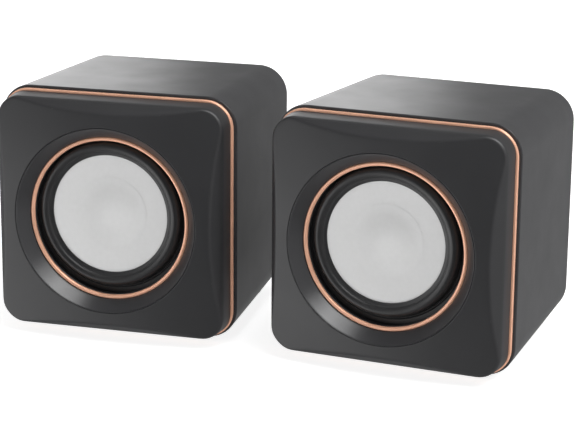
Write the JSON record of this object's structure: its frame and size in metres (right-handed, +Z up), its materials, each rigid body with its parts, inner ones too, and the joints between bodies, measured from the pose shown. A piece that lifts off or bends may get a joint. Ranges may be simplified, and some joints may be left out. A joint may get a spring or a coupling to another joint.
{
  "type": "desktop speakers",
  "caption": "Pair of cube desktop speakers with domed, faceted fronts, copper-coloured trim bands and driver rings, light-grey cones, and a rear volume knob on the powered one.",
  "frame": {"origin": "on the table, under the middle of the pair's bounding box, with the left speaker in its stored place", "axes": "+Z up, +X from the left speaker to the right one, and the fronts face -Y, each toed in by 3.6 degrees"},
  "size_m": [0.1866, 0.096, 0.0858],
  "materials": {
    "cabinet_plastic": "satin",
    "bezel_plastic": "soft matte",
    "dish_plastic": "satin",
    "copper_trim": "copper-coloured plating, semi-gloss",
    "black_foam": "matte",
    "surround_rubber": "smooth satin",
    "cone_grey": "coated, matte",
    "former_film": "satin",
    "coil_wire": "enamelled copper wire",
    "spider_cloth": "resin-treated weave",
    "black_steel": "black painted pressed steel",
    "zinc_steel": "zinc plated",
    "ferrite": "ground ferrite",
    "phenolic_board": "matte",
    "tinned_brass": "tinned",
    "foot_rubber": "matte",
    "circuit_board": "solder mask",
    "chip_plastic": "matte",
    "capacitor_sleeve": "sleeved can",
    "header_plastic": "matte",
    "wire_insulation": "satin",
    "pot_metal": "turned",
    "knob_plastic": "ribbed, matte"
  },
  "bodies": {
    "right_speaker": {"right_cabinet": "cabinet_plastic", "right_cabinet_gasket": "black_foam", "right_trim_band": "copper_trim", "right_bezel": "bezel_plastic", "right_dish": "dish_plastic", "right_driver_ring": "copper_trim", "right_driver_gasket": "black_foam", "right_driver_frame": "black_steel", "right_driver_screws": "zinc_steel", "right_surround": "surround_rubber", "right_spider": "spider_cloth", "right_coil_leads": "coil_wire", "right_top_plate": "zinc_steel", "right_magnet": "ferrite", "right_yoke": "zinc_steel", "right_terminal_board": "phenolic_board", "right_terminals": "tinned_brass", "right_cabinet_screws": "zinc_steel", "right_feet": "foot_rubber", "right_cable_grommet": "foot_rubber", "right_amplifier_board": "circuit_board", "right_amplifier_chip": "chip_plastic", "right_board_spacers": "header_plastic", "right_board_screws": "zinc_steel", "right_capacitors": "capacitor_sleeve", "right_wire_header": "header_plastic", "right_speaker_wires": "wire_insulation", "right_volume_pot": "pot_metal", "right_pot_nut": "zinc_steel"},
    "left_speaker": {"left_cabinet": "cabinet_plastic", "left_cabinet_gasket": "black_foam", "left_trim_band": "copper_trim", "left_bezel": "bezel_plastic", "left_dish": "dish_plastic", "left_driver_ring": "copper_trim", "left_driver_gasket": "black_foam", "left_driver_frame": "black_steel", "left_driver_screws": "zinc_steel", "left_surround": "surround_rubber", "left_spider": "spider_cloth", "left_coil_leads": "coil_wire", "left_top_plate": "zinc_steel", "left_magnet": "ferrite", "left_yoke": "zinc_steel", "left_terminal_board": "phenolic_board", "left_terminals": "tinned_brass", "left_cabinet_screws": "zinc_steel", "left_feet": "foot_rubber", "left_cable_grommet": "foot_rubber"},
    "right_cone_assembly": {"right_cone": "cone_grey", "right_dust_cap": "cone_grey", "right_coil_former": "former_film", "right_voice_coil": "coil_wire"},
    "left_cone_assembly": {"left_cone": "cone_grey", "left_dust_cap": "cone_grey", "left_coil_former": "former_film", "left_voice_coil": "coil_wire"},
    "volume_knob": {"right_pot_shaft": "pot_metal", "right_volume_knob": "knob_plastic"}
  },
  "joints": [
    {"name": "left_speaker_shift", "type": "slide", "parent": "right_speaker", "child": "left_speaker", "axis": [-1, 0, 0], "range_m": [0, 0.25]},
    {"name": "right_cone_travel", "type": "slide", "parent": "right_speaker", "child": "right_cone_assembly", "axis": [-0.0628, -0.998, 0], "range_m": [-0.0015, 0.0015], "stiffness_N_per_m": 800, "deforming": ["right_surround", "right_spider", "right_coil_leads"]},
    {"name": "left_cone_travel", "type": "slide", "parent": "left_speaker", "child": "left_cone_assembly", "axis": [0.0628, -0.998, 0], "range_m": [-0.0015, 0.0015], "stiffness_N_per_m": 800, "deforming": ["left_surround", "left_spider", "left_coil_leads"]},
    {"name": "volume_turn", "type": "hinge", "parent": "right_speaker", "child": "volume_knob", "pos_m": [0.05365, 0.04121, 0.0578], "axis": [0.0628, 0.998, 0], "range_deg": [-150, 150]}
  ]
}
